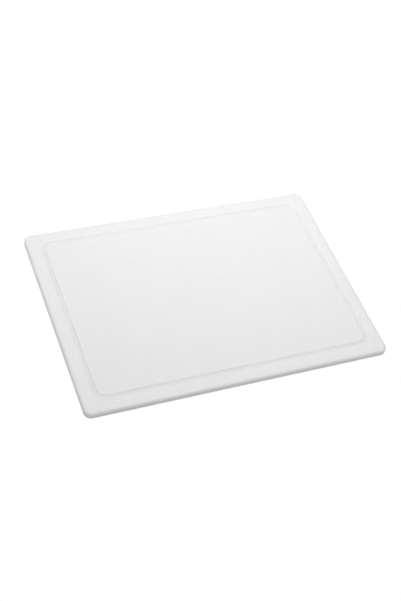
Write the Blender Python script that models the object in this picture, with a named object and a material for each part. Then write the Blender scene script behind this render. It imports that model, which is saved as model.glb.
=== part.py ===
"""A plastic cutting board: one solid slab with rounded edges and a juice groove all round.

Run with: blender --background --python part.py
Metres, +Z up. The origin is at the centre of the underside, +X runs along the length.
"""

import math

import bmesh
import bpy

# The slab.
LENGTH = 0.390
WIDTH = 0.280
THICKNESS = 0.010
CORNER_RADIUS = 0.009  # of the outline, seen from above
FOOT_RADIUS = 0.002  # rounding along the bottom edge
SHOULDER_RUN = 0.005  # how far in from the side the rounding of the top edge starts
SHOULDER_DROP = 0.003  # how far down the side it ends

# The juice groove in the top face.
GROOVE_INSET = 0.019  # from the side of the slab to the middle of the groove
GROOVE_HALF_WIDTH = 0.004  # over the rounded lips
GROOVE_DEPTH = 0.0022
GROOVE_CORNER_RADIUS = 0.014  # of the middle of the groove, seen from above
LIP_SHARE = 0.4  # part of the half width that the rounded lip takes

# How finely the round stretches are divided.
CORNER_STEPS = 10
EDGE_STEPS = 5
LIP_STEPS = 3
FLOOR_STEPS = 8

# The plastic.
COLOUR = (0.86, 0.86, 0.86, 1.0)
ROUGHNESS = 0.42
METALLIC = 0.0


def clear_scene():
    for obj in list(bpy.data.objects):
        bpy.data.objects.remove(obj, do_unlink=True)


def arc(start, end, steps):
    """Angles from start to end, both included, in equal steps."""
    return [start + (end - start) * i / steps for i in range(steps + 1)]


def edge_section():
    """(inset, height) of the slab's side, from the underside round to the top face."""
    foot = [
        (FOOT_RADIUS * (1 - math.cos(a)), FOOT_RADIUS * (1 + math.sin(a)))
        for a in arc(-math.pi / 2, 0, EDGE_STEPS)
    ]
    shoulder = [
        (SHOULDER_RUN * (1 - math.cos(a)), THICKNESS - SHOULDER_DROP * (1 - math.sin(a)))
        for a in arc(0, math.pi / 2, EDGE_STEPS)
    ]
    return foot + shoulder


def groove_section():
    """(inset, height) across the groove, from its outer lip to its inner lip.

    The lip and the floor are arcs that meet at one slope, which the depth and the
    half width set between them.
    """
    slope = 2 * math.atan(GROOVE_DEPTH / GROOVE_HALF_WIDTH)
    both_radii = GROOVE_HALF_WIDTH / math.sin(slope)
    lip_radius = LIP_SHARE * both_radii
    floor_radius = both_radii - lip_radius
    lip = [
        (lip_radius * math.sin(a) - GROOVE_HALF_WIDTH, lip_radius * (math.cos(a) - 1))
        for a in arc(0, slope, LIP_STEPS)
    ]
    floor = [
        (floor_radius * math.sin(a), floor_radius * (1 - math.cos(a)) - GROOVE_DEPTH)
        for a in arc(-slope, slope, FLOOR_STEPS)
    ]
    far_lip = [(-across, height) for across, height in reversed(lip)]
    section = lip[:-1] + floor + far_lip[1:]
    return [(GROOVE_INSET + across, THICKNESS + height) for across, height in section]


def ring(inset, height, rail_inset, rail_radius):
    """Points of a rounded rectangle that runs parallel to a rail, with the rail's corner centres."""
    radius = rail_radius + rail_inset - inset
    centre_x = LENGTH / 2 - rail_inset - rail_radius
    centre_y = WIDTH / 2 - rail_inset - rail_radius
    points = []
    for quarter, (side_x, side_y) in enumerate(((1, 1), (-1, 1), (-1, -1), (1, -1))):
        start = quarter * math.pi / 2
        for angle in arc(start, start + math.pi / 2, CORNER_STEPS):
            x = side_x * centre_x + radius * math.cos(angle)
            y = side_y * centre_y + radius * math.sin(angle)
            points.append((x, y, height))
    return points


def loft(mesh, rings):
    """One closed skin through rings of equal point count, with a flat face over each end."""
    loops = [[mesh.verts.new(point) for point in points] for points in rings]
    count = len(loops[0])
    for lower, upper in zip(loops, loops[1:]):
        for i in range(count):
            j = (i + 1) % count
            band = mesh.faces.new((lower[i], lower[j], upper[j], upper[i]))
            band.smooth = True
    mesh.faces.new(reversed(loops[0]))
    mesh.faces.new(loops[-1])


def plastic():
    """White polyethylene with a satin skin."""
    material = bpy.data.materials.new("board_plastic")
    material.use_nodes = True
    shader = material.node_tree.nodes["Principled BSDF"]
    shader.inputs["Base Color"].default_value = COLOUR
    shader.inputs["Roughness"].default_value = ROUGHNESS
    shader.inputs["Metallic"].default_value = METALLIC
    material.diffuse_color = COLOUR
    return material


def board():
    """The whole board, one solid."""
    rings = [ring(*point, 0, CORNER_RADIUS) for point in edge_section()]
    rings += [ring(*point, GROOVE_INSET, GROOVE_CORNER_RADIUS) for point in groove_section()]
    mesh = bmesh.new()
    loft(mesh, rings)
    data = bpy.data.meshes.new("board")
    mesh.to_mesh(data)
    mesh.free()
    data.materials.append(plastic())
    obj = bpy.data.objects.new("board", data)
    bpy.context.scene.collection.objects.link(obj)
    return obj


def main():
    clear_scene()
    board()


main()
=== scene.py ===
"""Looks of a white plastic cutting board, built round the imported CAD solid.

The CAD solid gives the size and the place. A finer skin of the same section stands for it here,
made of pressed and machined polyethylene, on a pale floor under soft light. All in metres.
"""

import math

import bmesh
import bpy
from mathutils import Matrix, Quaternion, Vector

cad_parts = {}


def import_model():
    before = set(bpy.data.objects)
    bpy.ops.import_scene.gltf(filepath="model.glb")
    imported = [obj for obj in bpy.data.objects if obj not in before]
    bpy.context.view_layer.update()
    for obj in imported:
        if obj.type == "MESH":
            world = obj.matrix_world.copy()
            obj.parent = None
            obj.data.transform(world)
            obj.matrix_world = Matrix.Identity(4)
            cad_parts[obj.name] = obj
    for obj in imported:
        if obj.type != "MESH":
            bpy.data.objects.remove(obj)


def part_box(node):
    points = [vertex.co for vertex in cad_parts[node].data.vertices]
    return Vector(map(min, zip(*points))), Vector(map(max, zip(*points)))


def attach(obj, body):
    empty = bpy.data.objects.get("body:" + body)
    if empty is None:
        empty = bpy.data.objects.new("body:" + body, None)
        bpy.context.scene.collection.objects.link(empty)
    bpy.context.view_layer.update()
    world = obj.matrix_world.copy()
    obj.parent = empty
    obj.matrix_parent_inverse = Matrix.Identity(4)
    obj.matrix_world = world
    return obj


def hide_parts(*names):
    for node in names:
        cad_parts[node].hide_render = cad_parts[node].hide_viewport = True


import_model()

# The slab, from the CAD solid. The skin is centred on the origin, with its underside at z = 0.
BOX_LOW, BOX_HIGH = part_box("board")
LENGTH = BOX_HIGH[0] - BOX_LOW[0]
WIDTH = BOX_HIGH[1] - BOX_LOW[1]
THICKNESS = BOX_HIGH[2] - BOX_LOW[2]
CORNER_RADIUS = 0.009  # of the outline, seen from above
FOOT_RADIUS = 0.002  # rounding along the bottom edge
SHOULDER_RUN = 0.005  # how far in from the side the rounding of the top edge starts
SHOULDER_DROP = 0.003  # how far down the side it ends

# The juice groove in the top face, as in the CAD.
GROOVE_INSET = 0.019  # from the side of the slab to the middle of the groove
GROOVE_HALF_WIDTH = 0.004  # over the rounded lips
GROOVE_DEPTH = 0.0022
GROOVE_CORNER_RADIUS = 0.014  # of the middle of the groove, seen from above
LIP_SHARE = 0.4  # part of the half width that the rounded lip takes

# How finely the skin's round stretches are divided.
CORNER_STEPS = 24
EDGE_STEPS = 14
LIP_STEPS = 8
FLOOR_STEPS = 18
FLATNESS = 100  # how strongly the wide flat faces set the shading of the bends beside them

# The camera: where it looks from, seen from the middle of the board.
CAMERA_AZIMUTH = math.radians(-30.65)
CAMERA_ELEVATION = math.radians(49.06)
CAMERA_ROLL = math.radians(13.48)
CAMERA_DISTANCE = 1.3516
CAMERA_LENS = 64.56
CAMERA_TARGET = Vector((-0.0048, -0.0042, 0.0))

# White polyethylene: light enters it and comes out again some millimetres away.
WHITE = 0.86
SUBSURFACE_WEIGHT = 0.8
SUBSURFACE_SCALE = 0.01
SUBSURFACE_RADIUS = (1.0, 1.0, 1.0)  # times the scale, the same for red, green and blue
IOR = 1.5
MOTTLE = 0.006  # how far the white wanders, either way, from one region to the next
MOTTLE_PATCH = 0.05
MOTTLE_DETAIL = 3.0
SPECK = 0.76  # the grey of the tiny specks in the plastic
SPECK_RADIUS = 0.0006
SPECK_CELL = 0.05
SPECK_SHARE = 0.35  # of the cells, how many hold a speck

# The skin: a pressed grain on the sheet's faces, a cutter's ridges on the sides and in the groove.
GRAIN_SIZE = 0.0012
GRAIN_DETAIL = 2.0
GRAIN_HEIGHT = 0.00015
GRAIN_PAINTED_SHADING = 0.012  # painted shade in the grain's hollows and painted light on its tops: how much darker and lighter than the white they are
RIDGE_SPACING = 0.0008  # along the cutter's path
RIDGE_LENGTH = 0.012  # across the path
RIDGE_DETAIL = 2.0
RIDGE_HEIGHT = 0.00001
ROUGHNESS = 0.42
ROUGHNESS_SPREAD = 0.05  # how far it wanders, either way, from patch to patch
ROUGHNESS_PATCH = 0.015
ROUGHNESS_DETAIL = 4.0
CUT_GLOSS = 0.06  # how much less rough a cut surface is
NOISE_LOW = 0.25  # the range that raw noise nearly fills
NOISE_HIGH = 0.75

# The floor.
FLOOR_REACH = 4.0  # from its middle to its edge
FLOOR_GAP = 0.0001  # between the underside and the floor, so that the two don't share a plane
FLOOR_COLOUR = (0.75, 0.75, 0.75, 1.0)
FLOOR_ROUGHNESS = 0.9

# The light: the room, a wide panel overhead, and a soft beam from above the board.
DOWN = Vector((0.0, 0.0, -1.0))
LIGHT_COLOUR = (1.0, 1.0, 1.0, 1.0)
WORLD_STRENGTH = 0.3
SEEN_STRENGTH = 1.0  # of the room and the floor, where the camera looks straight at them
PANEL_SIZE = 2.4
PANEL_PLACE = Vector((0.0, 0.35, 1.1))
PANEL_POWER = 11.5
BEAM_PLACE = Vector((0.0, 0.0, 1.5))
BEAM_TARGET = Vector((0.14, 0.37, 0.0))
BEAM_POWER = 44.0
BEAM_ANGLE = math.radians(60)
BEAM_FADE = 1.0  # the beam fades all the way from its middle to its rim
BEAM_SOURCE = 0.45  # radius of the lamp's face, which softens its shadows


def arc(start, end, steps):
    """Angles from start to end, both included, in equal steps."""
    return [start + (end - start) * i / steps for i in range(steps + 1)]


def edge_section():
    """(inset, height) of the slab's side, from the underside round to the top face."""
    foot = [
        (FOOT_RADIUS * (1 - math.cos(a)), FOOT_RADIUS * (1 + math.sin(a)))
        for a in arc(-math.pi / 2, 0, EDGE_STEPS)
    ]
    shoulder = [
        (SHOULDER_RUN * (1 - math.cos(a)), THICKNESS - SHOULDER_DROP * (1 - math.sin(a)))
        for a in arc(0, math.pi / 2, EDGE_STEPS)
    ]
    return foot + shoulder


def groove_section():
    """(inset, height) across the groove, from its outer lip to its inner lip.

    The lip and the floor are arcs that meet at one slope, which the depth and the
    half width set between them.
    """
    slope = 2 * math.atan(GROOVE_DEPTH / GROOVE_HALF_WIDTH)
    both_radii = GROOVE_HALF_WIDTH / math.sin(slope)
    lip_radius = LIP_SHARE * both_radii
    floor_radius = both_radii - lip_radius
    lip = [
        (lip_radius * math.sin(a) - GROOVE_HALF_WIDTH, lip_radius * (math.cos(a) - 1))
        for a in arc(0, slope, LIP_STEPS)
    ]
    floor = [
        (floor_radius * math.sin(a), floor_radius * (1 - math.cos(a)) - GROOVE_DEPTH)
        for a in arc(-slope, slope, FLOOR_STEPS)
    ]
    far_lip = [(-across, height) for across, height in reversed(lip)]
    section = lip[:-1] + floor + far_lip[1:]
    return [(GROOVE_INSET + across, THICKNESS + height) for across, height in section]


def ring(inset, height, rail_inset, rail_radius):
    """Points of a rounded rectangle that runs parallel to a rail, with the rail's corner centres."""
    radius = rail_radius + rail_inset - inset
    centre_x = LENGTH / 2 - rail_inset - rail_radius
    centre_y = WIDTH / 2 - rail_inset - rail_radius
    points = []
    for quarter, (side_x, side_y) in enumerate(((1, 1), (-1, 1), (-1, -1), (1, -1))):
        start = quarter * math.pi / 2
        for angle in arc(start, start + math.pi / 2, CORNER_STEPS):
            x = side_x * centre_x + radius * math.cos(angle)
            y = side_y * centre_y + radius * math.sin(angle)
            points.append(Vector((x, y, height)))
    return points


def distances(points):
    """How far along an open run of points each one lies."""
    along = [0.0]
    for point, following in zip(points, points[1:]):
        along.append(along[-1] + (following - point).length)
    return along


def loft(mesh, rings, machined):
    """One closed skin through rings of equal point count, with a flat face over each end.

    machined says for each band, from one ring to the next, whether a cutter made it. The UV map
    "section" holds metres: along the ring, and across from ring to ring.
    """
    section = mesh.loops.layers.uv.new("section")
    cut = mesh.faces.layers.float.new("machined")
    loops = [[mesh.verts.new(point) for point in points] for points in rings]
    along = [distances(points + points[:1]) for points in rings]
    across = distances([points[0] for points in rings])
    count = len(loops[0])
    for band in range(len(rings) - 1):
        lower, upper = loops[band], loops[band + 1]
        for i in range(count):
            j = (i + 1) % count
            face = mesh.faces.new((lower[i], lower[j], upper[j], upper[i]))
            face[cut] = float(machined[band])
            places = ((band, i), (band, i + 1), (band + 1, i + 1), (band + 1, i))
            for corner, (row, step) in zip(face.loops, places):
                corner[section].uv = (along[row][step], across[row])
    mesh.faces.new(reversed(loops[0]))
    mesh.faces.new(loops[-1])


def add(tree, kind, inputs=None, **settings):
    """A new node with these settings. An input is a value, or the output that feeds it."""
    node = tree.nodes.new(kind)
    for name, value in settings.items():
        setattr(node, name, value)
    for name, value in (inputs or {}).items():
        if isinstance(value, bpy.types.NodeSocket):
            tree.links.new(value, node.inputs[name])
        else:
            node.inputs[name].default_value = value
    return node


def maths(tree, operation, first, second):
    """The output of one sum on two numbers or outputs."""
    return add(tree, "ShaderNodeMath", {0: first, 1: second}, operation=operation).outputs[0]


def blend(tree, share, first, second):
    """Runs from first, where the share is 0, to second, where it is 1."""
    ends = {"Value": share, "To Min": first, "To Max": second}
    return add(tree, "ShaderNodeMapRange", ends).outputs["Result"]


def noise(tree, place, size, detail):
    """Noise from 0 to 1, with features of this size in metres."""
    raw = add(tree, "ShaderNodeTexNoise", {"Vector": place, "Scale": 1 / size, "Detail": detail})
    spread = {"Value": raw.outputs["Fac"], "From Min": NOISE_LOW, "From Max": NOISE_HIGH}
    return add(tree, "ShaderNodeMapRange", spread).outputs["Result"]


def cut_share(tree):
    """1 where a cutter made the surface, and 0 on the faces of the sheet."""
    return add(tree, "ShaderNodeAttribute", attribute_name="machined").outputs["Fac"]


def ridges(tree):
    """The fine ridges that a cutter leaves across its path, from 0 between them to 1 on their tops."""
    section = add(tree, "ShaderNodeUVMap", uv_map="section")
    stretch = (1.0, RIDGE_SPACING / RIDGE_LENGTH, 1.0)
    path = add(tree, "ShaderNodeMapping", {"Vector": section.outputs["UV"], "Scale": stretch})
    return noise(tree, path.outputs["Vector"], RIDGE_SPACING, RIDGE_DETAIL)


def specks(tree, place):
    """1 inside a few tiny round specks, scattered over the board, and 0 elsewhere."""
    cells = {"Vector": place, "Scale": 1 / SPECK_CELL}
    cell = add(tree, "ShaderNodeTexVoronoi", cells, voronoi_dimensions="2D")
    inside = maths(tree, "LESS_THAN", cell.outputs["Distance"], SPECK_RADIUS / SPECK_CELL)
    draw = add(tree, "ShaderNodeSeparateColor", {"Color": cell.outputs["Color"]}).outputs["Red"]
    return maths(tree, "MULTIPLY", inside, maths(tree, "LESS_THAN", draw, SPECK_SHARE))


def white(tree, place, grain, cut):
    """The plastic's colour: a white that wanders a little, with painted shade in the grain's hollows
    and painted light on its tops.
    """
    mottle = noise(tree, place, MOTTLE_PATCH, MOTTLE_DETAIL)
    even = blend(tree, mottle, WHITE - MOTTLE, WHITE + MOTTLE)
    # Painted shade in the grain's hollows and painted light on its tops, on the sheet's faces only.
    painted_shading = blend(tree, cut, blend(tree, grain, -GRAIN_PAINTED_SHADING, GRAIN_PAINTED_SHADING), 0.0)
    tone = blend(tree, specks(tree, place), maths(tree, "ADD", even, painted_shading), SPECK)
    neutral = {"Red": tone, "Green": tone, "Blue": tone}
    return add(tree, "ShaderNodeCombineColor", neutral).outputs["Color"]


def roughness(tree, place, cut):
    """Patchy gloss, and a little more of it where the cutter went."""
    patches = noise(tree, place, ROUGHNESS_PATCH, ROUGHNESS_DETAIL)
    pressed = blend(tree, patches, ROUGHNESS - ROUGHNESS_SPREAD, ROUGHNESS + ROUGHNESS_SPREAD)
    return blend(tree, cut, pressed, maths(tree, "SUBTRACT", pressed, CUT_GLOSS))


def relief(tree, grain, cut):
    """The grain and the ridges as a bump, whose height is in metres."""
    pressed = maths(tree, "MULTIPLY", grain, GRAIN_HEIGHT)
    machined = maths(tree, "MULTIPLY", ridges(tree), RIDGE_HEIGHT)
    height = blend(tree, cut, pressed, machined)
    return add(tree, "ShaderNodeBump", {"Height": height, "Distance": 1.0}).outputs["Normal"]


def plastic():
    """White polyethylene with a satin skin, pressed on the faces and machined elsewhere."""
    material = bpy.data.materials.new("board_plastic_fine")
    material.use_nodes = True
    tree = material.node_tree
    place = add(tree, "ShaderNodeTexCoord").outputs["Object"]
    cut = cut_share(tree)
    grain = noise(tree, place, GRAIN_SIZE, GRAIN_DETAIL)
    shader = tree.nodes["Principled BSDF"]
    shader.inputs["IOR"].default_value = IOR
    shader.inputs["Subsurface Weight"].default_value = SUBSURFACE_WEIGHT
    shader.inputs["Subsurface Radius"].default_value = SUBSURFACE_RADIUS
    shader.inputs["Subsurface Scale"].default_value = SUBSURFACE_SCALE
    tree.links.new(white(tree, place, grain, cut), shader.inputs["Base Color"])
    tree.links.new(roughness(tree, place, cut), shader.inputs["Roughness"])
    tree.links.new(relief(tree, grain, cut), shader.inputs["Normal"])
    return material


def cutting_board():
    """The whole board, one piece that stands for the CAD solid."""
    edge = edge_section()
    groove = groove_section()
    rings = [ring(*point, 0, CORNER_RADIUS) for point in edge]
    rings += [ring(*point, GROOVE_INSET, GROOVE_CORNER_RADIUS) for point in groove]
    # One band is the sheet's own face: the one from the edge to the groove.
    machined = [True] * (len(edge) - 1) + [False] + [True] * (len(groove) - 1)
    mesh = bmesh.new()
    loft(mesh, rings, machined)
    data = bpy.data.meshes.new("cutting_board")
    mesh.to_mesh(data)
    mesh.free()
    data.materials.append(plastic())
    data.shade_smooth()
    obj = bpy.data.objects.new("cutting_board", data)
    bpy.context.scene.collection.objects.link(obj)
    normals = obj.modifiers.new("normals", "WEIGHTED_NORMAL")
    normals.weight = FLATNESS
    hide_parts("board")
    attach(obj, "root")


def floor_paint():
    """A pale matt floor, which the camera sees as plain white."""
    material = bpy.data.materials.new("floor")
    material.use_nodes = True
    tree = material.node_tree
    shader = tree.nodes["Principled BSDF"]
    shader.inputs["Base Color"].default_value = FLOOR_COLOUR
    shader.inputs["Roughness"].default_value = FLOOR_ROUGHNESS
    seen = add(tree, "ShaderNodeLightPath").outputs["Is Camera Ray"]
    glow = add(tree, "ShaderNodeEmission", {"Color": LIGHT_COLOUR, "Strength": SEEN_STRENGTH})
    both = {0: seen, 1: shader.outputs["BSDF"], 2: glow.outputs["Emission"]}
    paint = add(tree, "ShaderNodeMixShader", both).outputs["Shader"]
    tree.links.new(paint, tree.nodes["Material Output"].inputs["Surface"])
    return material


def floor():
    mesh = bmesh.new()
    bmesh.ops.create_grid(mesh, x_segments=1, y_segments=1, size=FLOOR_REACH)
    data = bpy.data.meshes.new("floor")
    mesh.to_mesh(data)
    mesh.free()
    data.materials.append(floor_paint())
    obj = bpy.data.objects.new("floor", data)
    obj.location.z = -FLOOR_GAP
    bpy.context.scene.collection.objects.link(obj)


def lamp(name, kind, power, location, target, **settings):
    """A light that the camera doesn't see, turned towards its target."""
    data = bpy.data.lights.new(name, kind)
    data.energy = power
    for setting, value in settings.items():
        setattr(data, setting, value)
    obj = bpy.data.objects.new(name, data)
    obj.location = location
    obj.rotation_mode = "QUATERNION"
    obj.rotation_quaternion = (target - location).to_track_quat("-Z", "Y")
    obj.visible_camera = False
    bpy.context.scene.collection.objects.link(obj)


def studio():
    """A round panel that faces straight down, and a beam that lights the back of the board more."""
    panel = {"shape": "DISK", "size": PANEL_SIZE}
    lamp("panel", "AREA", PANEL_POWER, PANEL_PLACE, PANEL_PLACE + DOWN, **panel)
    beam = {"spot_size": BEAM_ANGLE, "spot_blend": BEAM_FADE, "shadow_soft_size": BEAM_SOURCE}
    lamp("beam", "SPOT", BEAM_POWER, BEAM_PLACE, BEAM_TARGET, **beam)


def world():
    """Even light from all round, which the camera sees as plain white."""
    surroundings = bpy.data.worlds.new("studio")
    surroundings.use_nodes = True
    tree = surroundings.node_tree
    seen = add(tree, "ShaderNodeLightPath").outputs["Is Camera Ray"]
    background = tree.nodes["Background"]
    background.inputs["Color"].default_value = LIGHT_COLOUR
    strength = blend(tree, seen, WORLD_STRENGTH, SEEN_STRENGTH)
    tree.links.new(strength, background.inputs["Strength"])
    bpy.context.scene.world = surroundings


def camera():
    """The photograph's point of view."""
    data = bpy.data.cameras.new("camera")
    data.lens = CAMERA_LENS
    obj = bpy.data.objects.new("camera", data)
    bpy.context.scene.collection.objects.link(obj)
    back = Vector(
        (
            math.sin(CAMERA_AZIMUTH) * math.cos(CAMERA_ELEVATION),
            -math.cos(CAMERA_AZIMUTH) * math.cos(CAMERA_ELEVATION),
            math.sin(CAMERA_ELEVATION),
        )
    )
    obj.location = CAMERA_TARGET + CAMERA_DISTANCE * back
    obj.rotation_mode = "QUATERNION"
    roll = Quaternion((0.0, 0.0, 1.0), CAMERA_ROLL)
    obj.rotation_quaternion = (-back).to_track_quat("-Z", "Y") @ roll
    bpy.context.scene.camera = obj


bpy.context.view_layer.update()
camera()
world()
floor()
studio()
cutting_board()
bpy.context.scene.view_settings.view_transform = "Standard"
